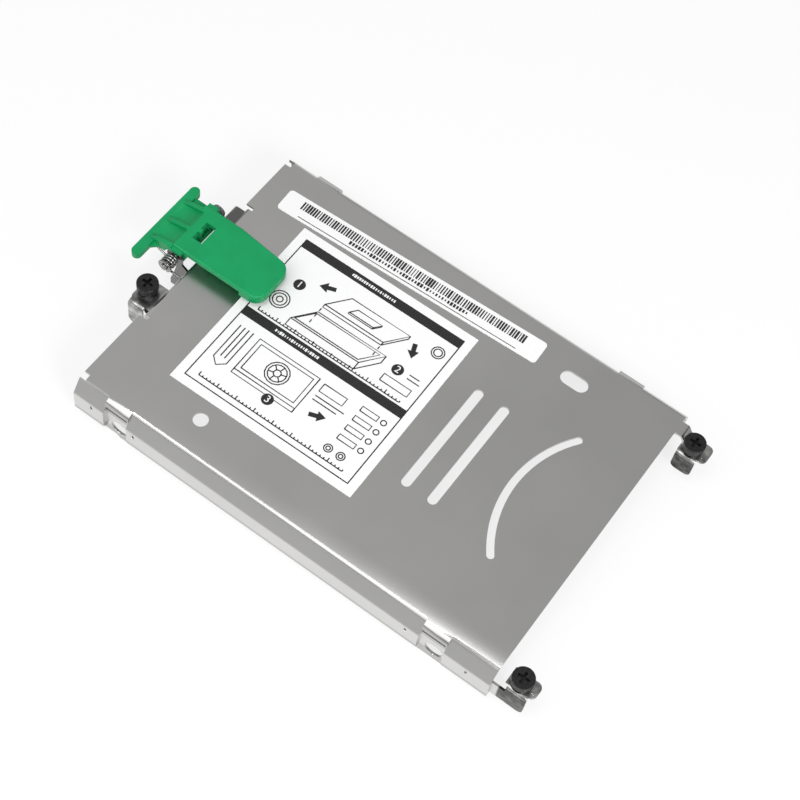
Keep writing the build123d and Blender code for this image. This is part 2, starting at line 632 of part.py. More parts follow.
# Lever: blade with its lip, hub, body, web, gussets and crossbar in one moulding
with BuildPart() as lever:
    extrude(blade_face(0), amount=BLADE_T)
    blade_top = lever.faces().filter_by(Axis.Z).sort_by(Axis.Z)[-1]
    fillet(blade_top.edges().sort_by(Axis.X)[1:], BLADE_EDGE_R)
    extrude(blade_face(0), amount=-LIP_H)
    extrude(blade_face(LIP_W), amount=-LIP_H, mode=Mode.SUBTRACT)
    with Locations((X_TIP - LIP_L, Y_LEVER, Z_BLADE)):
        Box(TOTAL_L, 2 * BLADE_W, LIP_H, align=(Align.MAX, Align.CENTER, Align.MAX), mode=Mode.SUBTRACT)

    # Wing on the near side, over the spring, and the pointed nub on the far side
    with BuildSketch(Plane.XY.offset(Z_BLADE)):
        with Locations((X_BODY, Y_BLADE + WING_W)):
            Rectangle(WING_L, 2 * WING_W, align=(Align.MIN, Align.MAX))
        with BuildLine():
            Polyline(
                (X_LATCH - NUB_OUT - NUB_L, Y_BLADE + BLADE_W - WING_W),
                (X_LATCH - NUB_OUT, Y_BLADE + BLADE_W + NUB_W),
                (X_LATCH - NUB_OUT + NUB_L, Y_BLADE + BLADE_W - WING_W),
                close=True,
            )
        make_face()
    extrude(amount=BLADE_T - BLADE_EDGE_R)

    # Web out to the crossbar, and the crossbar with its rounded ends
    with BuildSketch(Plane.XY.offset(Z_WEB)):
        with BuildLine():
            Polyline(
                (X_BODY + BODY_WALL, Y_HUB),
                (X_CROSSBAR + CROSSBAR_W + WEB_FLARE, Y_HUB),
                (X_CROSSBAR + CROSSBAR_W, Y_HUB - WEB_FLARE),
                (X_CROSSBAR + CROSSBAR_W / 2, Y_HUB - WEB_FLARE),
                (X_CROSSBAR + CROSSBAR_W / 2, Y_HUB + HUB_W),
                (X_BODY + BODY_WALL, Y_HUB + HUB_W),
                close=True,
            )
        make_face()
    extrude(amount=WEB_T)
    with BuildSketch(Plane.XY.offset(Z_CROSSBAR)):
        with Locations((X_CROSSBAR + CROSSBAR_W / 2, Y_FRONT + CROSSBAR_Y)):
            SlotOverall(CROSSBAR_L, CROSSBAR_W, rotation=90)
    extrude(amount=CROSSBAR_T)

    # Shoulder, which rises from the crossbar to the body
    ledge = (X_CROSSBAR + SCOOP_LEDGE, Z_CROSSBAR + CROSSBAR_T)
    brow = (X_BODY + SCOOP_IN, Z_BLADE + BLADE_T)
    mid_x = (ledge[0] + brow[0]) / 2
    mid_z = (ledge[1] + brow[1]) / 2
    near_y = Y_FRONT + GUSSET_Y - GUSSET_PITCH - GUSSET_W / 2
    with BuildSketch(Plane.XZ.offset(-near_y)):
        with BuildLine():
            ThreePointArc(ledge, (mid_x, mid_z + GUSSET_BULGE), brow)
            Polyline(brow, (brow[0], Z_WEB), (ledge[0], Z_WEB), ledge)
        make_face()
    extrude(amount=-2 * GUSSET_PITCH - GUSSET_W)

    # Hub round the pin, and the body that carries the blade on it
    with BuildSketch(Plane.XZ.offset(-Y_HUB)):
        with Locations((X_PIVOT, Z_PIVOT)):
            Circle(HUB_R)
        with BuildLine():
            Polyline(
                (X_BODY, Z_WEB),
                (X_BODY, Z_BLADE + BLADE_T / 2),
                (X_LATCH + WINDOW_SLOT_IN - WINDOW_SLOT_L - BODY_WALL, Z_BLADE + BLADE_T / 2),
                (X_LATCH + WINDOW_SLOT_IN - WINDOW_SLOT_L - BODY_WALL, Z_PIVOT),
                (X_PIVOT, Z_PIVOT),
                close=True,
            )
        make_face()
    extrude(amount=-HUB_W)

    # Scoops in the shoulder, which leave its three gussets standing
    for bay in range(2):
        with BuildSketch(Plane.XZ.offset(-near_y - GUSSET_W - bay * GUSSET_PITCH)):
            with BuildLine():
                ThreePointArc(ledge, (mid_x, mid_z - SCOOP_DEEP), brow)
                Polyline(brow, (brow[0], brow[1] + BLADE_T), (ledge[0], brow[1] + BLADE_T), ledge)
            make_face()
        extrude(amount=GUSSET_W - GUSSET_PITCH, mode=Mode.SUBTRACT)

    # Window with its tooth, the bore, and room for the ears' heads beside the hub
    with BuildSketch(Plane.XY.offset(Z_BLADE)):
        with Locations((X_LATCH + WINDOW_SLOT_IN, Y_FRONT + WINDOW_SLOT_Y)):
            Rectangle(WINDOW_SLOT_L, WINDOW_SLOT_W, align=(Align.MAX, Align.CENTER))
        with Locations((X_LATCH + WINDOW_SLOT_IN - WINDOW_SLOT_L, Y_FRONT + WINDOW_SLOT_Y)):
            Rectangle(2 * TOOTH_L, TOOTH_W, mode=Mode.SUBTRACT)
    extrude(amount=2 * BLADE_T, both=True, mode=Mode.SUBTRACT)
    with BuildSketch(Plane.XZ):
        with Locations((X_PIVOT, Z_PIVOT)):
            Circle(PIN_R + PIN_FIT)
    extrude(amount=PLATE_W, both=True, mode=Mode.SUBTRACT)
    for y_from, away in ((Y_HUB, 1), (Y_HUB + HUB_W, -1)):
        with BuildSketch(Plane.XZ.offset(-y_from)):
            with Locations((X_PIVOT, Z_PIVOT)):
                Circle(PIVOT_EAR_R + LEVER_GAP)
        extrude(amount=away * HUB_W, mode=Mode.SUBTRACT)
lever.part.label = "lever"
export_step(lever.part, "parts/lever.step")


# Torsion spring: one leg bears on the apron, the other under the lever's web
leg_drop = LEG_GAP + WIRE_R + PIVOT_UP - WEB_UP
leg_rise = degrees(asin(COIL_R / hypot(LEG_REACH, leg_drop)) - atan(leg_drop / LEG_REACH))
apron_leg_l = X_APRON - LEG_GAP - X_PIVOT
web_leg_l = (LEG_REACH**2 + leg_drop**2 - COIL_R**2) ** 0.5
with BuildPart() as torsion_spring:
    with BuildLine() as wire:
        upper = Helix(
            COIL_PITCH,
            COIL_PITCH * (COIL_TURNS + leg_rise / 360),
            COIL_R,
            center=(X_PIVOT, Y_COIL, Z_PIVOT),
            direction=(0, 1, 0),
            lefthand=True,
            mode=Mode.PRIVATE,
        )
        coil = mirror(upper, about=Plane.XY.offset(Z_PIVOT)).edge()
        Line(coil @ 0 - (coil % 0) * apron_leg_l, coil @ 0)
        Line(coil @ 1, coil @ 1 + (coil % 1) * web_leg_l)
    with BuildSketch(Plane(origin=coil @ 0 - (coil % 0) * apron_leg_l, z_dir=coil % 0)):
        Circle(WIRE_R)
    sweep(path=wire.wire())
torsion_spring.part.label = "torsion_spring"
export_step(torsion_spring.part, "parts/torsion_spring.step")


# Labels, which lie flat on the plate, and their print, which lies on them
LONG_LABEL_SPOT = (X_LATCH + LONG_LABEL_IN, -Y_FRONT - LONG_LABEL_FWD, Z_PLATE)
CARD_W = PLATE_W - CARD_Y - CARD_FWD
CARD_SPOT = (X_LATCH + CARD_IN, Y_FRONT + CARD_Y + CARD_W / 2, Z_PLATE)
long_label_plane = Plane(Location(LONG_LABEL_SPOT, (0, 0, LONG_LABEL_TURN)))
card_plane = Plane(Location(CARD_SPOT, (0, 0, CARD_TURN)))

with BuildPart() as barcode_label:
    with BuildSketch(long_label_plane):
        RectangleRounded(LONG_LABEL_L, LONG_LABEL_W, LABEL_CORNER_R)
    extrude(amount=LABEL_T)
barcode_label.part.label = "barcode_label"
export_step(barcode_label.part, "parts/barcode_label.step")

with BuildPart() as barcode_print:
    with BuildSketch(long_label_plane.offset(LABEL_T)):
        for bar in range(BAR_COUNT):
            with Locations(((bar - (BAR_COUNT - 1) / 2) * BAR_PITCH, BAR_BACK)):
                Rectangle(BAR_WIDTHS[bar % len(BAR_WIDTHS)], BAR_H)
        with Locations((0, RULE_BACK)):
            Rectangle(RULE_L, RULE_W)
    extrude(amount=INK_T)
barcode_print.part.label = "barcode_print"
export_step(barcode_print.part, "parts/barcode_print.step")

with BuildPart() as instruction_label:
    with BuildSketch(card_plane):
        Rectangle(CARD_L, CARD_W)
    extrude(amount=LABEL_T)
instruction_label.part.label = "instruction_label"
export_step(instruction_label.part, "parts/instruction_label.step")

with BuildPart() as instruction_print:
    frame_l = CARD_L - 2 * CARD_MARGIN
    frame_w = CARD_W - 2 * CARD_MARGIN
    with BuildSketch(card_plane.offset(LABEL_T)):
        Rectangle(frame_l, frame_w)
        Rectangle(frame_l - 2 * FRAME_LINE, frame_w - 2 * FRAME_LINE, mode=Mode.SUBTRACT)
        with Locations((0, (frame_w - BAND_W) / 2), (0, BAND_MIDDLE)):
            Rectangle(frame_l, BAND_W)
        with Locations(*DISC_SPOTS):
            Circle(DISC_R)
        for arrow_x, arrow_y, arrow_turn in ARROW_SPOTS:
            with Locations(Location((arrow_x, arrow_y, 0), (0, 0, arrow_turn))):
                Polygon(
                    (0, 0),
                    (ARROW_HEAD_L, -ARROW_W / 2),
                    (ARROW_HEAD_L, -ARROW_SHAFT_W / 2),
                    (ARROW_L, -ARROW_SHAFT_W / 2),
                    (ARROW_L, ARROW_SHAFT_W / 2),
                    (ARROW_HEAD_L, ARROW_SHAFT_W / 2),
                    (ARROW_HEAD_L, ARROW_W / 2),
                    align=Align.CENTER,
                )
    extrude(amount=INK_T)
instruction_print.part.label = "instruction_print"
export_step(instruction_print.part, "parts/instruction_print.step")
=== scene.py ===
import json
import math

import bpy
from mathutils import Matrix, Quaternion, Vector


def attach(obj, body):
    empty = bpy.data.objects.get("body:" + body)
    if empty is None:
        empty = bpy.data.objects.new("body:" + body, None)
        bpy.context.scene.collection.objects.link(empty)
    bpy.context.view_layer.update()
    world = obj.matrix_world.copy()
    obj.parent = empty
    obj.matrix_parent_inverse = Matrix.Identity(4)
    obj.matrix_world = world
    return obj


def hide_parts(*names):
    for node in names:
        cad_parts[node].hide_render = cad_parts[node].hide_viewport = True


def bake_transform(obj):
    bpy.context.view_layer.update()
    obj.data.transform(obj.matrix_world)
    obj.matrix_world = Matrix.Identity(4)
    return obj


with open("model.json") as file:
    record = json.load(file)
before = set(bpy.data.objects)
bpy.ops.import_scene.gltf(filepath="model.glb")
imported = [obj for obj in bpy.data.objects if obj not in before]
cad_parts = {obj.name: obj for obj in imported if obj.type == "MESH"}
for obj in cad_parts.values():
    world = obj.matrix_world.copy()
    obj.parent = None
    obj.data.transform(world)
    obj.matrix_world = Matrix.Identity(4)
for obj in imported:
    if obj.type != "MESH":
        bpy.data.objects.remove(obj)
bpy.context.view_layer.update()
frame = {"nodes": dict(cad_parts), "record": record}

# Every size below is in millimetres, in the tray's own frame, and is made metres where it is used.
MM = 0.001

# Camera, at the photograph's viewing angle
CAMERA_SPOT = (82.35, -160.11, 327.99)
CAMERA_AIM = (3.42, 1.06, 11.0)
CAMERA_ROLL = math.radians(10.84)
CAMERA_LENS = 82.29
CAMERA_NEAR = 10

# Tray and lever
Z_PLATE = 11.0
X_APRON = -48.7
X_PIVOT = -52.3
Z_PIVOT = 12.0

# Where the sheet's colour changes, mostly with painted shade and painted reflection: on the ears, at the
# apron's bend and down the side walls
X_EARS = 52.6
X_LATCH_EARS = -49.5
Y_PIVOT_EAR = -1.2
Z_EAR_BEND = 8.9
APRON_BEND_W = 0.9
APRON_BEND_DOWN = 0.04
Z_SHOULDER = 10.6
Z_RIB = 7.5
Z_RIB_FOOT = 3.0

# The plate rolls off towards its front bend, by a share that grows along the tray
Y_FRONT = -34.05
ROLL_W = 4.2
ROLL_DEEP = 0.42
ROLL_X = (-40, 48)
ROLL_SHARE = (0.2, 1.0)

# Captive screws: head, journal, the ring's groove, thread, cross recess, and the steps of each round
SCREW_SPOTS = {"latch": (-52.2, -9.65), "front": (55.75, -33.09), "rear": (55.75, 29.15)}
HEAD_R = 2.3
HEAD_H = 1.7
Z_HEAD = 11.0
JOURNAL_R = 1.2
GROOVE_R = 0.8
Z_GROOVE = (6.9, 7.3)
Z_THREAD = 6.5
THREAD_R = 1.0
THREAD_CORE_R = 0.8
THREAD_PITCH = 0.4
Z_TIP = 1.8
RECESS_L = 2.5
RECESS_W = 0.6
RECESS_DEEP = 0.9
HEAD_EDGE_R = 0.16
EDGE_STEPS = 3
TURNING_STEPS = 56
AXIS_R = 0.0001
AXIS_MERGE = 0.002
THREAD_STEPS = 28
RIDGE_SIDES = 4

# Torsion spring: its wire, its coil, where that ends, and the tips of its two legs
WIRE_R = 0.25
COIL_R = 1.35
COIL_TURNS = 3.053
COIL_PITCH = 0.62
COIL_STEPS = 110
COIL_START = math.radians(-90)
Y_COIL = -3.46
APRON_LEG = (-48.81, -3.715, 10.65)
WEB_LEG = (-56.69, -1.262, 12.096)

# Studio: each lamp's place, size and power, the floor's size and shade, the share of white in what
# the camera sees of it, and the room's two greys with the directions that they run between
LAMPS = {
    "top softbox": ((0, -110, 500), 110, 0.4),
    "key softbox": ((450, -250, 400), 200, 2.2),
    "front softbox": ((-120, -290, 440), 360, 0.7),
}
FLOOR = 2000
FLOOR_PALE = 0.95
FLOOR_GLOW = 0.78
ROOM_LATCH = 0.56
ROOM_CONN = 0.4
ROOM_SPREAD = (-0.4, 0.0)

# Finishes, and the sheet's painted shade and painted reflection, each from its darker to its lighter
# colour
WHITE = (1, 1, 1)
SHEET = ((0.565, 0.56, 0.55), (0.62, 0.615, 0.605))
# Painted shade: the same stainless, darker on the sloped shoulders and at the foot of the side walls
SHOULDER_AND_FOOT_SHADE = ((0.46, 0.457, 0.45), (0.5, 0.496, 0.488))
# Painted reflection: the same stainless, lighter on the upright ribs of the side walls
RIB_PAINTED_REFLECTION = ((0.62, 0.615, 0.605), (0.7, 0.695, 0.685))
EAR_FLANGE = ((0.24, 0.24, 0.235), (0.6, 0.595, 0.585))
# Painted shade: the connector ears' bent walls, darker than their flanges
EAR_WALL_SHADE = ((0.03, 0.03, 0.029), (0.15, 0.149, 0.146))
# Painted shade: the pivot's ears and the apron's bend, in the shadow under the lever
PIVOT_EAR_SHADE = ((0.12, 0.12, 0.118), (0.24, 0.238, 0.234))
GREEN = ((0.0035, 0.29, 0.094), (0.005, 0.34, 0.112))
DRAWN_STEEL = ((0.12, 0.119, 0.116), (0.55, 0.545, 0.535))
BLACK = ((0.008, 0.008, 0.009), (0.024, 0.024, 0.027))
FILM = ((0.915, 0.915, 0.92), (0.945, 0.945, 0.95))
INK = ((0.016, 0.016, 0.017), (0.05, 0.05, 0.052))

# Softened edges: how flat a joint of two faces is before it goes, how crisp before it is rounded,
# and each solid's width and steps
WELD_REACH = 0.001
FLAT_TURN = math.radians(0.5)
CRISP_TURN = math.radians(40)
EDGES = {
    "tray": (0.07, 2),
    "lever": (0.18, 3),
    "pivot_pin": (0.1, 2),
    "pivot_clip": (0.05, 2),
}
COLLAR_EDGE = (0.06, 2)
RING_EDGE = (0.05, 2)

# Labels and their print
Z_LABEL = 11.1
INK_T = 0.04
LONG_LABEL_SPOT = (-12.1, 26.55)
LONG_LABEL_TURN = math.radians(2.2)
CARD_SPOT = (-13.9, -0.25)
CARD_TURN = math.radians(0.5)
LINE_W = 0.25
DISC_SPOTS = ((-14.5, 10.5), (13.0, 6.5), (-3.5, -15.0))
NUMBER_SIZE = 2.3

# Rows of marks on the long label: both ends, how many, their widths and heights, and the seed
LABEL_ROWS = {
    "barcode_bars": (((-27.6, 0.85), (27.4, 0.85)), 92, (0.16, 0.5), (2.1, 2.1), 11),
    "barcode_rule": (((-13, -2.1), (13, -2.1)), 2, (28, 28), (0.16, 0.16), 1),
    "barcode_marks": (((-14.4, -0.95), (14.4, -0.95)), 40, (0.25, 0.55), (0.5, 0.95), 3),
}

# The light marks on the square label's dark bands: each row's middle and seed, and what they share
BAND_ROWS = {"upper": ((-2.0, 19.35), 5), "lower": ((-6.5, -1.2), 9)}
BAND_ROW_HALF = 5.2
BAND_MARKS = (19, (0.2, 0.5), (0.45, 0.75))


def link(piece):
    """Puts a new object into the scene."""
    bpy.context.scene.collection.objects.link(piece)
    return piece


def metres(point):
    """A place in millimetres, as a vector in metres."""
    return Vector(point) * MM


# ---- Shader and Geometry Nodes, one at a time ----


def node(tree, kind, inputs=None, **settings):
    """A new node with its settings, whose inputs are numbers or other nodes' outputs."""
    made = tree.nodes.new(kind)
    for setting, value in settings.items():
        setattr(made, setting, value)
    for socket, value in (inputs or {}).items():
        if isinstance(value, bpy.types.NodeSocket):
            tree.links.new(value, made.inputs[socket])
        else:
            made.inputs[socket].default_value = value
    return made


def either(tree, first, second):
    """1 where either of two numbers is 1."""
    return node(tree, "ShaderNodeMath", {0: first, 1: second}, operation="MAXIMUM").outputs[0]


def both(tree, first, second):
    """1 where both of two numbers are 1."""
    return node(tree, "ShaderNodeMath", {0: first, 1: second}, operation="MINIMUM").outputs[0]


def between(tree, amount, low, high, start=0.3, end=0.7):
    """A number that runs from low to high as the amount runs from start to end."""
    ends = {"Value": amount, "From Min": start, "From Max": end, "To Min": low, "To Max": high}
    return node(tree, "ShaderNodeMapRange", ends).outputs["Result"]


def opaque(colour):
    """A colour as a colour socket takes it."""
    return (*colour, 1)


def tint(tree, amount, low, high):
    """A colour that runs from low to high with the amount."""
    mix = node(tree, "ShaderNodeMix", {"Factor": amount}, data_type="RGBA")
    ends = [socket for socket in mix.inputs if socket.type == "RGBA"]
    for socket, colour in zip(ends, (low, high)):
        if isinstance(colour, bpy.types.NodeSocket):
            tree.links.new(colour, socket)
        else:
            socket.default_value = opaque(colour)
    return [out for out in mix.outputs if out.type == "RGBA"][0]


# ---- Studio ----


def make_camera():
    """The camera at the photograph's viewing angle."""
    lens = bpy.data.cameras.new("camera")
    lens.lens = CAMERA_LENS
    lens.clip_start = CAMERA_NEAR * MM
    camera = link(bpy.data.objects.new("camera", lens))
    look = metres(CAMERA_AIM) - metres(CAMERA_SPOT)
    camera.location = metres(CAMERA_SPOT)
    camera.rotation_mode = "QUATERNION"
    camera.rotation_quaternion = look.to_track_quat("-Z", "Y") @ Quaternion((0, 0, 1), CAMERA_ROLL)
    bpy.context.scene.camera = camera


def softbox(name, spot, size, power):
    """A square lamp at a spot, turned to the middle of the plate."""
    lamp = bpy.data.lights.new(name, "AREA")
    lamp.size = size * MM
    lamp.energy = power
    box = link(bpy.data.objects.new(name, lamp))
    box.location = metres(spot)
    look = metres((0, 0, Z_PLATE)) - metres(spot)
    box.rotation_euler = look.to_track_quat("-Z", "Y").to_euler()


def make_world():
    """A grey room, darker over the connector end, which the camera sees as white."""
    world = bpy.data.worlds.new("studio")
    bpy.context.scene.world = world
    world.use_nodes = True
    tree = world.node_tree
    tree.nodes.clear()
    way = node(tree, "ShaderNodeTexCoord")
    axes = node(tree, "ShaderNodeSeparateXYZ", {0: way.outputs["Generated"]})
    shade = between(tree, axes.outputs["X"], ROOM_LATCH, ROOM_CONN, *ROOM_SPREAD)
    room = node(tree, "ShaderNodeBackground", {"Color": shade})
    white = node(tree, "ShaderNodeBackground", {"Color": opaque(WHITE)})
    path = node(tree, "ShaderNodeLightPath")
    looked_at = either(tree, path.outputs["Is Camera Ray"], path.outputs["Is Transmission Ray"])
    shown = {0: looked_at, 1: room.outputs[0], 2: white.outputs[0]}
    mix = node(tree, "ShaderNodeMixShader", shown)
    node(tree, "ShaderNodeOutputWorld", {"Surface": mix.outputs[0]})


def make_floor():
    """A plain pale floor, which the camera and reflections see as nearly white, with its shadow."""
    mesh = bpy.data.meshes.new("floor")
    corners = [(-FLOOR, -FLOOR, 0), (FLOOR, -FLOOR, 0), (FLOOR, FLOOR, 0), (-FLOOR, FLOOR, 0)]
    mesh.from_pydata([tuple(metres(corner)) for corner in corners], [], [(0, 1, 2, 3)])
    floor = link(bpy.data.objects.new("floor", mesh))
    paint = bpy.data.materials.new("pale floor")
    paint.use_nodes = True
    tree = paint.node_tree
    tree.nodes.clear()
    matt = node(tree, "ShaderNodeBsdfDiffuse", {"Color": opaque([FLOOR_PALE] * 3)})
    white = node(tree, "ShaderNodeEmission", {"Color": opaque(WHITE)})
    path = node(tree, "ShaderNodeLightPath")
    looked_at = either(tree, path.outputs["Is Camera Ray"], path.outputs["Is Transmission Ray"])
    looked_at = either(tree, looked_at, path.outputs["Is Glossy Ray"])
    share = node(tree, "ShaderNodeMath", {0: looked_at, 1: FLOOR_GLOW}, operation="MULTIPLY")
    shown = {0: share.outputs[0], 1: matt.outputs[0], 2: white.outputs[0]}
    mix = node(tree, "ShaderNodeMixShader", shown)
    node(tree, "ShaderNodeOutputMaterial", {"Surface": mix.outputs[0]})
    mesh.materials.append(paint)


# ---- Materials ----


def surface(name, colour, metallic, roughness, specular=0.5):
    """A new material whose constant numbers are on the shader's own sockets."""
    made = bpy.data.materials.new(name)
    made.use_nodes = True
    shader = made.node_tree.nodes["Principled BSDF"]
    shader.inputs["Base Color"].default_value = opaque(colour)
    shader.inputs["Metallic"].default_value = metallic
    shader.inputs["Roughness"].default_value = roughness
    shader.inputs["Specular IOR Level"].default_value = specular
    return made, made.node_tree, shader


def speckle(tree, scale, stretch=(1, 1, 1), detail=2.0):
    """Noise on the object's own coordinates, as a number between 0 and 1."""
    place = node(tree, "ShaderNodeTexCoord")
    spread = node(tree, "ShaderNodeMapping", {"Vector": place.outputs["Object"], "Scale": stretch})
    sizes = {"Vector": spread.outputs[0], "Scale": scale, "Detail": detail}
    return node(tree, "ShaderNodeTexNoise", sizes).outputs["Fac"]


def bump(tree, height, depth, strength=1.0):
    """A normal tilted by a height with a real depth in millimetres."""
    sizes = {"Height": height, "Distance": depth * MM, "Strength": strength}
    return node(tree, "ShaderNodeBump", sizes).outputs["Normal"]


def relief(tree, shader, height, depth, under=None):
    """Bump with a real depth in millimetres, over another where there is one."""
    normal = bump(tree, height, depth)
    if under:
        tree.links.new(under, normal.node.inputs["Normal"])
    tree.links.new(normal, shader.inputs["Normal"])


def step_at(tree, amount, place, width):
    """1 past a place in millimetres, or before it where the width is negative, and 0 elsewhere."""
    half = abs(width) / 2
    low, high = (0, 1) if width > 0 else (1, 0)
    return between(tree, amount, low, high, (place - half) * MM, (place + half) * MM)


def sheet_colour(tree, x, y, z):
    """The sheet's colour: satin plate; painted shade on the shoulders and the walls' foot and a painted
    reflection on the ribs; mottled screw ears with painted shade on the connector ears' walls; and
    painted shade on the pivot's ears and the apron's bend.
    """
    clouds = speckle(tree, 45, detail=2.0)
    mottle = between(tree, speckle(tree, 520, detail=1.5), 0, 1, 0.35, 0.65)
    sheet = tint(tree, between(tree, clouds, 0, 1), *SHEET)
    shoulder_and_foot_shade = tint(tree, clouds, *SHOULDER_AND_FOOT_SHADE)
    rib_painted_reflection = tint(tree, clouds, *RIB_PAINTED_REFLECTION)
    flange = tint(tree, mottle, *EAR_FLANGE)
    ear_wall_shade = tint(tree, mottle, *EAR_WALL_SHADE)
    pivot_ear_shade = tint(tree, clouds, *PIVOT_EAR_SHADE)

    # Down the side walls: painted shade on the shoulders and at the foot, and a painted reflection on
    # the ribs
    colour = tint(tree, step_at(tree, z, Z_SHOULDER, -0.3), sheet, shoulder_and_foot_shade)
    colour = tint(tree, step_at(tree, z, Z_RIB, -0.3), colour, rib_painted_reflection)
    colour = tint(tree, step_at(tree, z, Z_RIB_FOOT, -0.6), colour, shoulder_and_foot_shade)

    # The screw ears, mottled, with painted shade on the bent walls of those at the connector end
    conn = step_at(tree, x, X_EARS, 0.4)
    latch = step_at(tree, x, X_LATCH_EARS, -0.1)
    bent = step_at(tree, z, Z_EAR_BEND, -0.2)
    colour = tint(tree, either(tree, conn, latch), colour, flange)
    colour = tint(tree, both(tree, conn, bent), colour, ear_wall_shade)

    # Painted shade on the pivot's ears, and on the apron's bend between them, under the lever
    hub_side = step_at(tree, y, Y_PIVOT_EAR, 0.1)
    colour = tint(tree, both(tree, latch, hub_side), colour, pivot_ear_shade)
    past_apron = step_at(tree, x, X_APRON + APRON_BEND_W, -0.2)
    under_plate = step_at(tree, z, Z_PLATE - APRON_BEND_DOWN, -0.04)
    apron = both(tree, past_apron, under_plate)
    return tint(tree, both(tree, apron, hub_side), colour, pivot_ear_shade), clouds


def roll_off(tree, x, y):
    """A normal that rolls the plate off towards its front bend, most at the connector end."""
    near = between(tree, y, 1, 0, Y_FRONT * MM, (Y_FRONT + ROLL_W) * MM)
    steep = node(tree, "ShaderNodeMath", {0: near, 1: near}, operation="MULTIPLY").outputs[0]
    low, high = ROLL_SHARE
    along = between(tree, x, -low, -high, ROLL_X[0] * MM, ROLL_X[1] * MM)
    drop = node(tree, "ShaderNodeMath", {0: steep, 1: along}, operation="MULTIPLY").outputs[0]
    return bump(tree, drop, ROLL_DEEP, step_at(tree, x, X_EARS, -0.4))


def make_stainless():
    """Rolled stainless sheet: a fine grain along the tray, and a faint wave, over a colour with painted
    shade and painted reflection.
    """
    made, tree, shader = surface("rolled stainless sheet", (0.6, 0.595, 0.585), 1.0, 0.26)
    place = node(tree, "ShaderNodeTexCoord")
    axes = node(tree, "ShaderNodeSeparateXYZ", {0: place.outputs["Object"]})
    x, y, z = axes.outputs["X"], axes.outputs["Y"], axes.outputs["Z"]
    colour, clouds = sheet_colour(tree, x, y, z)
    grain = speckle(tree, 4200, (0.04, 1, 1), 2.0)
    tree.links.new(colour, shader.inputs["Base Color"])
    tree.links.new(between(tree, grain, 0.275, 0.29), shader.inputs["Roughness"])
    relief(tree, shader, clouds, 0.002, roll_off(tree, x, y))
    return made


def make_green():
    """Moulded green plastic with a fine matt texture."""
    made, tree, shader = surface("moulded green plastic", (0.004, 0.32, 0.105), 0.0, 0.45, 0.3)
    clouds = speckle(tree, 160, detail=3.0)
    fine = speckle(tree, 5200, detail=2.0)
    skin = tint(tree, between(tree, clouds, 0, 1), *GREEN)
    tree.links.new(skin, shader.inputs["Base Color"])
    tree.links.new(between(tree, fine, 0.36, 0.48), shader.inputs["Roughness"])
    relief(tree, shader, fine, 0.006)
    return made


def make_black(name, low, high, depth):
    """A black finish, unevenly worn, whose roughness runs from low to high."""
    made, tree, shader = surface(name, BLACK[0], 0.0, (low + high) / 2, 0.35)
    fine = speckle(tree, 2200, detail=3.0)
    worn = tint(tree, between(tree, fine, 0, 1, 0.5, 0.8), *BLACK)
    tree.links.new(worn, shader.inputs["Base Color"])
    tree.links.new(between(tree, fine, low, high), shader.inputs["Roughness"])
    relief(tree, shader, fine, depth)
    return made


def make_bright():
    """Bright drawn steel with fine draw marks."""
    made, tree, shader = surface("bright drawn steel", (0.42, 0.415, 0.405), 1.0, 0.2)
    marks = speckle(tree, 3500, (1, 0.2, 1), 2.0)
    tree.links.new(tint(tree, between(tree, marks, 0, 1), *DRAWN_STEEL), shader.inputs["Base Color"])
    tree.links.new(between(tree, marks, 0.12, 0.26), shader.inputs["Roughness"])
    relief(tree, shader, marks, 0.002)
    return made


def make_film():
    """White label film with a faint wave."""
    made, tree, shader = surface("white label film", (0.93, 0.93, 0.935), 0.0, 0.45, 0.3)
    wave = speckle(tree, 120, detail=1.0)
    fine = speckle(tree, 4000, detail=2.0)
    paper = tint(tree, between(tree, fine, 0, 1), *FILM)
    tree.links.new(paper, shader.inputs["Base Color"])
    tree.links.new(between(tree, fine, 0.4, 0.5), shader.inputs["Roughness"])
    relief(tree, shader, wave, 0.02)
    return made


def make_ink():
    """Black print with the faint mottle of a thermal printer."""
    made, tree, shader = surface("black print", (0.02, 0.02, 0.021), 0.0, 0.5, 0.3)
    mottle = speckle(tree, 6000, detail=2.0)
    ink = tint(tree, between(tree, mottle, 0, 1, 0.45, 0.75), *INK)
    tree.links.new(ink, shader.inputs["Base Color"])
    return made


make_camera()
make_world()
make_floor()
for name, lamp in LAMPS.items():
    softbox(name, *lamp)
bpy.context.scene.view_settings.view_transform = "Standard"

FINISHES = {
    "stainless_sheet": make_stainless(),
    "green_plastic": make_green(),
    "bright_steel": make_bright(),
    "black_steel": make_black("black oxide steel", 0.3, 0.5, 0.004),
    "black_plastic": make_black("black moulded nylon", 0.35, 0.55, 0.006),
    "label_white": make_film(),
    "label_ink": make_ink(),
}


# ---- Edges of the solids ----


def soften(name, width, steps):
    """Rounds a solid's crisp edges by a width in millimetres."""
    part = frame["nodes"][name]
    weld = part.modifiers.new("weld", "WELD")
    weld.merge_threshold = WELD_REACH * MM
    flat = part.modifiers.new("flat", "DECIMATE")
    flat.decimate_type = "DISSOLVE"
    flat.angle_limit = FLAT_TURN
    edge = part.modifiers.new("edge", "BEVEL")
    edge.width = width * MM
    edge.segments = steps
    edge.limit_method = "ANGLE"
    edge.angle_limit = CRISP_TURN
    edge.harden_normals = True


for part in frame["record"]["subparts"]:
    solid = frame["nodes"][part["node"]]
    solid.data.materials.clear()
    solid.data.materials.append(FINISHES[part["material_slot"]])

for name, edge in EDGES.items():
    soften(name, *edge)
for name in SCREW_SPOTS:
    soften(f"{name}_collar", *COLLAR_EDGE)
    soften(f"{name}_ring", *RING_EDGE)


# ---- Geometry Nodes trees ----


SOCKETS = {float: "NodeSocketFloat", int: "NodeSocketInt", tuple: "NodeSocketVector"}


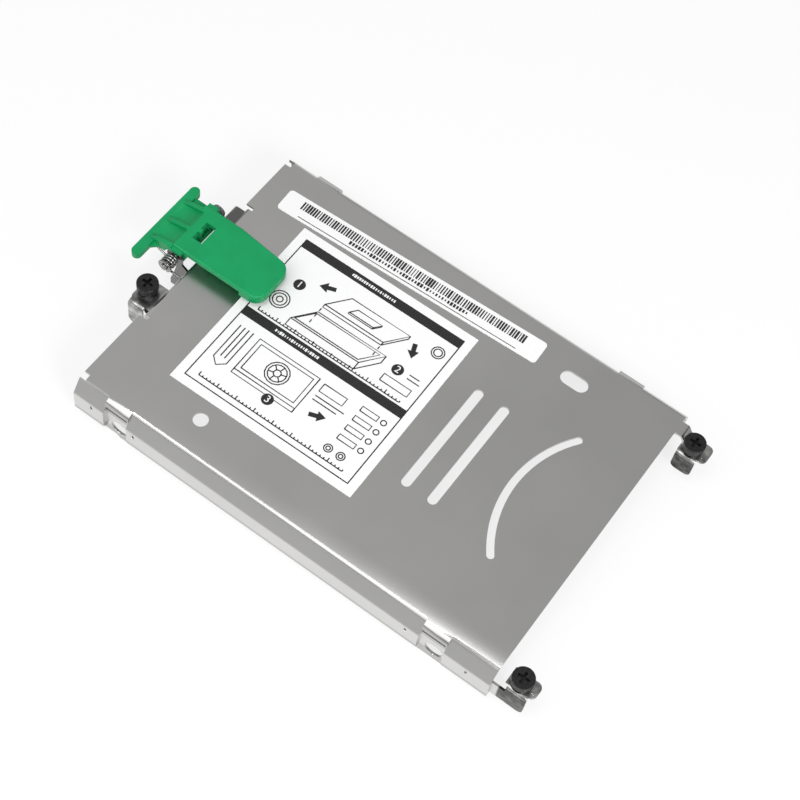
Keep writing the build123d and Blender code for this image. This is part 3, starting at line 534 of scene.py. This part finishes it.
def new_tree(name, sizes):
    """A Geometry Nodes tree with a named input for each size, and its two end nodes."""
    tree = bpy.data.node_groups.new(name, "GeometryNodeTree")
    tree.interface.new_socket("Geometry", in_out="INPUT", socket_type="NodeSocketGeometry")
    for label, value in sizes.items():
        socket = tree.interface.new_socket(label, in_out="INPUT", socket_type=SOCKETS[type(value)])
        socket.default_value = value
    tree.interface.new_socket("Geometry", in_out="OUTPUT", socket_type="NodeSocketGeometry")
    return tree, tree.nodes.new("NodeGroupInput").outputs, tree.nodes.new("NodeGroupOutput")


def close_tree(tree, last, result, finish):
    """Ends a tree: its instances are made real and get their material."""
    real = node(tree, "GeometryNodeRealizeInstances", {0: result})
    inputs = {"Geometry": real.outputs[0], "Material": FINISHES[finish]}
    painted = node(tree, "GeometryNodeSetMaterial", inputs)
    tree.links.new(painted.outputs[0], last.inputs[0])


def grow(name, tree, sizes, body, lines=((), ())):
    """Runs a tree on the lines that it follows, and keeps the result as a plain mesh on a body."""
    base = bpy.data.meshes.new(name)
    base.from_pydata([tuple(metres(point)) for point in lines[0]], lines[1], [])
    maker = link(bpy.data.objects.new(name, base))
    growing = maker.modifiers.new("grow", "NODES")
    growing.node_group = tree
    for socket in tree.interface.items_tree:
        if socket.in_out == "INPUT" and socket.name in sizes:
            growing[socket.identifier] = sizes[socket.name]
    bpy.context.view_layer.update()
    result = maker.evaluated_get(bpy.context.evaluated_depsgraph_get())
    mesh = bpy.data.meshes.new_from_object(result)
    maker.modifiers.clear()
    maker.data = mesh
    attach(maker, body)
    return maker


def join(tree, *parts):
    """All the parts in one geometry."""
    made = node(tree, "GeometryNodeJoinGeometry")
    for part in reversed(parts):
        tree.links.new(part, made.inputs[0])
    return made.outputs[0]


def moved(tree, geometry, by):
    """A geometry carried by a vector."""
    return node(tree, "GeometryNodeTransform", {"Geometry": geometry, "Translation": by}).outputs[0]


def sized(tree, x, y, z):
    """A vector of three sizes."""
    return node(tree, "ShaderNodeCombineXYZ", {"X": x, "Y": y, "Z": z}).outputs[0]


# ---- Captive screws ----


def screw_tree(sizes):
    """Turns the profile round the screw's axis, cuts the cross recess and winds the thread."""
    tree, size, last = new_tree("captive screw", sizes)
    profile = node(tree, "GeometryNodeMeshToCurve", {0: size["Geometry"]}).outputs[0]
    profile = node(
        tree,
        "GeometryNodeFilletCurve",
        {"Curve": profile, "Count": EDGE_STEPS, "Radius": size["Edge Radius"], "Limit Radius": True},
        mode="POLY",
    ).outputs[0]
    axis = {"Resolution": TURNING_STEPS, "Radius": size["Axis Radius"]}
    wheel = node(tree, "GeometryNodeCurvePrimitiveCircle", axis).outputs[0]
    turned = node(tree, "GeometryNodeCurveToMesh", {"Curve": wheel, "Profile Curve": profile}).outputs[0]
    merging = {"Geometry": turned, "Distance": size["Axis Merge"]}
    turned = node(tree, "GeometryNodeMergeByDistance", merging).outputs[0]
    slots = []
    for length, width in (("Recess Length", "Recess Width"), ("Recess Width", "Recess Length")):
        deep = sized(tree, size[length], size[width], size["Recess Depth"])
        slots.append(node(tree, "GeometryNodeMeshCube", {"Size": deep}).outputs[0])
    slots = [moved(tree, slot, sized(tree, 0.0, 0.0, size["Top"])) for slot in slots]
    cut = node(tree, "GeometryNodeMeshBoolean", operation="DIFFERENCE", solver="EXACT")
    tree.links.new(turned, cut.inputs[0])
    for slot in slots:
        tree.links.new(slot, cut.inputs[1])
    helix = node(
        tree,
        "GeometryNodeCurveSpiral",
        {
            "Resolution": THREAD_STEPS,
            "Rotations": size["Thread Turns"],
            "Start Radius": size["Thread Core Radius"],
            "End Radius": size["Thread Core Radius"],
            "Height": size["Thread Length"],
        },
    ).outputs[0]
    helix = moved(tree, helix, sized(tree, 0.0, 0.0, size["Tip"]))
    ridge = {"Resolution": RIDGE_SIDES, "Radius": size["Ridge"]}
    ridge = node(tree, "GeometryNodeCurvePrimitiveCircle", ridge).outputs[0]
    winding = {"Curve": helix, "Profile Curve": ridge, "Fill Caps": True}
    thread = node(tree, "GeometryNodeCurveToMesh", winding).outputs[0]
    whole = join(tree, cut.outputs[0], thread)
    flat = {"Geometry": whole, "Shade Smooth": False}
    whole = node(tree, "GeometryNodeSetShadeSmooth", flat).outputs[0]
    close_tree(tree, last, moved(tree, whole, size["Spot"]), "black_steel")
    return tree


def make_screws():
    """The three captive screws, from one profile that starts at the middle of the head's top."""
    z_top = Z_HEAD + HEAD_H
    profile = [
        (0, z_top),
        (HEAD_R, z_top),
        (HEAD_R, Z_HEAD),
        (JOURNAL_R, Z_HEAD),
        (JOURNAL_R, Z_GROOVE[1]),
        (GROOVE_R, Z_GROOVE[1]),
        (GROOVE_R, Z_GROOVE[0]),
        (JOURNAL_R, Z_GROOVE[0]),
        (JOURNAL_R, Z_THREAD),
        (THREAD_CORE_R, Z_THREAD),
        (THREAD_CORE_R, Z_TIP),
        (0, Z_TIP),
    ]
    points = [(x, -z, 0) for x, z in profile]
    edges = [(i, i + 1) for i in range(len(points) - 1)]
    thread_l = Z_THREAD - Z_TIP - THREAD_PITCH
    shared = {
        "Spot": (0.0, 0.0, 0.0),
        "Top": z_top * MM,
        "Tip": (Z_TIP + THREAD_PITCH / 2) * MM,
        "Edge Radius": HEAD_EDGE_R * MM,
        "Axis Radius": AXIS_R * MM,
        "Axis Merge": AXIS_MERGE * MM,
        "Recess Length": RECESS_L * MM,
        "Recess Width": RECESS_W * MM,
        "Recess Depth": 2 * RECESS_DEEP * MM,
        "Thread Core Radius": THREAD_CORE_R * MM,
        "Thread Length": thread_l * MM,
        "Thread Turns": thread_l / THREAD_PITCH,
        "Ridge": (THREAD_R - THREAD_CORE_R) * MM,
    }
    tree = screw_tree(shared)
    for name, (x, y) in SCREW_SPOTS.items():
        sizes = dict(shared, Spot=tuple(metres((x, y, 0))))
        title, body = f"{name}_screw_turned", f"{name}_turn"
        screw = grow(title, tree, sizes, body, (points, edges))
        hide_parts(f"{name}_screw")


make_screws()


# ---- Torsion spring ----


def meshed(curve):
    """A curve's or a text's mesh, in place of its object."""
    result = curve.evaluated_get(bpy.context.evaluated_depsgraph_get())
    mesh = bpy.data.meshes.new_from_object(result)
    bpy.data.objects.remove(curve)
    return mesh


def spring_line():
    """The wire's middle line: the apron's leg, the coil and the leg under the lever's web."""
    coil = []
    for step in range(COIL_STEPS + 1):
        turns = COIL_TURNS * step / COIL_STEPS
        angle = COIL_START - 2 * math.pi * turns
        x, z = X_PIVOT + COIL_R * math.cos(angle), Z_PIVOT + COIL_R * math.sin(angle)
        coil.append((x, Y_COIL + COIL_PITCH * turns, z))
    return [APRON_LEG, *coil, WEB_LEG]


def make_spring():
    """The wire spring between the tray and the lever."""
    line = bpy.data.curves.new("spring_wire", "CURVE")
    line.dimensions = "3D"
    points = spring_line()
    spline = line.splines.new("POLY")
    spline.points.add(len(points) - 1)
    for knot, point in zip(spline.points, points):
        knot.co = (*metres(point), 1)
    line.bevel_depth = WIRE_R * MM
    line.bevel_resolution = 4
    line.use_fill_caps = True
    wire = link(bpy.data.objects.new("spring_line", line))
    mesh = meshed(wire)
    mesh.shade_smooth()
    mesh.materials.clear()
    mesh.materials.append(FINISHES["bright_steel"])
    spring = link(bpy.data.objects.new("spring_wound", mesh))
    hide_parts("torsion_spring")
    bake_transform(spring)


make_spring()


# ---- Print on the labels ----


def on_long_label(points):
    """Places on the long label, as millimetres from its middle, brought into the tray's frame."""
    return placed(points, LONG_LABEL_SPOT, LONG_LABEL_TURN, Z_LABEL)


def on_card(points, height=Z_LABEL):
    """Places on the square label, as millimetres from its middle, brought into the tray's frame."""
    return placed(points, CARD_SPOT, CARD_TURN, height)


def placed(points, spot, turn, height):
    """Places on a label that lies turned at a spot, brought into the tray's frame."""
    spin = Matrix.Rotation(turn, 2)
    return [(*(Vector(spot) + spin @ Vector(point)), height) for point in points]


def marks_tree(sizes, finish):
    """A row of upright marks of uneven width along each line."""
    tree, size, last = new_tree("printed marks", sizes)
    path = node(tree, "GeometryNodeMeshToCurve", {0: size["Geometry"]}).outputs[0]
    row = node(tree, "GeometryNodeCurveToPoints", {"Curve": path, "Count": size["Count"]}, mode="COUNT")
    uneven = []
    for least, most in (("Narrowest", "Widest"), ("Shortest", "Tallest")):
        ends = {2: size[least], 3: size[most], "Seed": size["Seed"]}
        uneven.append(node(tree, "FunctionNodeRandomValue", ends, data_type="FLOAT").outputs[1])
    mark = node(tree, "GeometryNodeMeshCube", {"Size": (1, 1, 1)}).outputs[0]
    stood = node(
        tree,
        "GeometryNodeInstanceOnPoints",
        {
            "Points": row.outputs[0],
            "Instance": mark,
            "Rotation": sized(tree, 0.0, 0.0, size["Turn"]),
            "Scale": sized(tree, *uneven, size["Thickness"]),
        },
    ).outputs[0]
    close_tree(tree, last, moved(tree, stood, sized(tree, 0.0, 0.0, size["Lift"])), finish)
    return tree


def ink_row(name, ends, turn, count, widths, heights, seed, finish="label_ink"):
    """One row of marks between two places."""
    sizes = {
        "Count": count,
        "Narrowest": widths[0] * MM,
        "Widest": widths[1] * MM,
        "Shortest": heights[0] * MM,
        "Tallest": heights[1] * MM,
        "Thickness": INK_T * MM,
        "Lift": INK_T * MM / 2,
        "Turn": turn,
        "Seed": seed,
    }
    return grow(name, marks_tree(sizes, finish), sizes, "tray_body", (ends, [(0, 1)]))


def line_tree(sizes):
    """A flat ribbon of ink along each line."""
    tree, size, last = new_tree("drawn lines", sizes)
    path = node(tree, "GeometryNodeMeshToCurve", {0: size["Geometry"]}).outputs[0]
    path = node(tree, "GeometryNodeSetCurveNormal", {"Curve": path}, mode="Z_UP").outputs[0]
    pen = node(
        tree,
        "GeometryNodeCurvePrimitiveQuadrilateral",
        {"Width": size["Width"], "Height": size["Thickness"]},
        mode="RECTANGLE",
    ).outputs[0]
    drawing = {"Curve": path, "Profile Curve": pen, "Fill Caps": True}
    drawn = node(tree, "GeometryNodeCurveToMesh", drawing).outputs[0]
    close_tree(tree, last, moved(tree, drawn, sized(tree, 0.0, 0.0, size["Lift"])), "label_ink")
    return tree


def box_lines(corner, length, depth, lean, drop):
    """A slanted box seen from above: its top and, where it has a height, the sides that show."""
    x, y = corner
    top = [(x, y), (x + length, y), (x + length + lean, y + depth), (x + lean, y + depth)]
    if not drop:
        return [[*top, top[0]]]
    low = [(x, y), (x, y - drop), (x + length, y - drop), (x + length + lean, y + depth - drop), top[2]]
    return [[*top, top[0]], low, [top[1], (x + length, y - drop)]]


def arc_line(middle, radius, start, end, steps=14):
    """Points round part of a circle, with its angles in degrees."""
    turns = [math.radians(start + (end - start) * step / steps) for step in range(steps + 1)]
    return [(middle[0] + radius * math.cos(a), middle[1] + radius * math.sin(a)) for a in turns]


def ring(middle, *sizes):
    """Rings round one middle."""
    return [arc_line(middle, size, 0, 360) for size in sizes]


def ruler(start, step, count, rise):
    """A straight rule with its ticks, each fifth one longer."""
    end = (start[0] + step[0] * count, start[1] + step[1] * count)
    lines = [[start, end]]
    for tick in range(count + 1):
        foot = (start[0] + step[0] * tick, start[1] + step[1] * tick)
        tall = rise if tick % 5 == 0 else rise / 2
        lines.append([foot, (foot[0], foot[1] + tall)])
    return lines


def upper_drawing():
    """A flat box with its lid lifted off, beside a stack of rings and over a rule."""
    lines = box_lines((-11.2, 3.0), 17.0, 4.6, 3.6, 1.9)
    lines += box_lines((-10.6, 3.5), 15.9, 3.6, 2.9, 0.0)
    lines += box_lines((-7.6, 9.9), 14.6, 4.6, 3.6, 0.8)
    lines += box_lines((-2.6, 11.5), 6.0, 1.5, 1.2, 0.4)
    lines += [[(-7.6, 8.7), (-7.6, 7.9)], [(-7.6, 7.0), (-7.6, 6.2)], [(-7.6, 5.3), (-7.6, 4.5)]]
    lines += [[(7.0, 8.7), (7.0, 7.9)], [(7.0, 7.0), (7.0, 6.2)]]
    lines += ring((-15.6, 5.2), 2.1, 1.5, 0.7) + ring((17.2, 14.8), 1.4, 0.9)
    lines += ruler((-17.6, 0.5), (0.9, 0.0), 39, 0.9)
    lines += [[(11.4, 2.4), (18.0, 2.4), (18.0, 4.2), (11.4, 4.2), (11.4, 2.4)]]
    lines += [[(15.6, 6.0), (18.6, 6.0)], [(15.6, 7.0), (18.0, 7.0)]]
    return lines


def lower_drawing():
    """Nested frames with a wheel in the middle, pegs down one side and a rule below."""
    lines = box_lines((-13.0, -13.4), 15.0, 8.6, 0.0, 1.0)
    lines += box_lines((-12.0, -12.5), 13.0, 6.8, 0.0, 0.0)
    (x, y), hub, rim = (-5.5, -9.1), 0.8, 2.0
    lines += ring((x, y), 2.6, rim, hub)
    for spoke in [math.radians(15 + 60 * step) for step in range(6)]:
        lines.append([(x + r * math.cos(spoke), y + r * math.sin(spoke)) for r in (hub, rim)])
    for row in range(4):
        foot = -13.6 + 2.6 * row
        lines += [[(12.4, foot), (16.4, foot), (16.4, foot + 1.2), (12.4, foot + 1.2), (12.4, foot)]]
        lines += ring((17.8, foot + 0.6), 0.6)
    lines += [[(3.4, -5.2), (9.0, -5.2), (9.0, -7.2), (3.4, -7.2), (3.4, -5.2)]]
    lines += [[(3.4, -8.4), (10.4, -8.4)], [(3.4, -9.4), (9.2, -9.4)]]
    lines += [[(-18.0, -4.6), (-18.0, -13.6), (-16.4, -15.0), (-14.8, -13.6), (-14.8, -4.6)]]
    lines += [[(-16.9, -4.6), (-16.9, -12.8)], [(-15.9, -4.6), (-15.9, -12.8)]]
    lines += ruler((-17.6, -18.9), (0.9, 0.0), 39, 0.9)
    lines += ring((12.4, -16.4), 0.9, 0.45) + ring((15.4, -16.4), 0.9, 0.45)
    return lines


def draw_card():
    """The line drawings, the numbers on the discs and the light marks on the two dark bands."""
    points, edges = [], []
    for line in upper_drawing() + lower_drawing():
        first = len(points)
        points += on_card(line)
        edges += [(first + step, first + step + 1) for step in range(len(line) - 1)]
    sizes = {"Width": LINE_W * MM, "Thickness": INK_T * MM, "Lift": INK_T * MM / 2}
    grow("card_drawing", line_tree(sizes), sizes, "tray_body", (points, edges))
    for number, spot in enumerate(DISC_SPOTS, 1):
        disc_number(number, spot)
    for name, ((x, y), seed) in BAND_ROWS.items():
        ends = [(x - BAND_ROW_HALF, y), (x + BAND_ROW_HALF, y)]
        row = on_card(ends, Z_LABEL + INK_T / 2)
        ink_row(f"{name}_band_marks", row, CARD_TURN, *BAND_MARKS, seed, "label_white")


def disc_number(number, spot):
    """A plain number, lying on its disc."""
    sign = bpy.data.curves.new(f"disc_number_{number}", "FONT")
    sign.body = str(number)
    sign.size = NUMBER_SIZE * MM
    sign.extrude = INK_T * MM / 4
    sign.align_x = "CENTER"
    sign.align_y = "CENTER"
    sample = link(bpy.data.objects.new(f"disc_number_{number}_line", sign))
    mesh = meshed(sample)
    at = on_card([spot], Z_LABEL + INK_T)[0]
    mesh.transform(Matrix.Translation(metres(at)) @ Matrix.Rotation(CARD_TURN, 4, "Z"))
    mesh.materials.clear()
    mesh.materials.append(FINISHES["label_white"])
    digit = link(bpy.data.objects.new(f"disc_number_{number}", mesh))
    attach(digit, "tray_body")


def print_long_label():
    """The bars, and below them a thin rule and a row of small marks."""
    for name, (ends, *marks) in LABEL_ROWS.items():
        ink_row(name, on_long_label(ends), LONG_LABEL_TURN, *marks)
    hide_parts("barcode_print")


print_long_label()
draw_card()
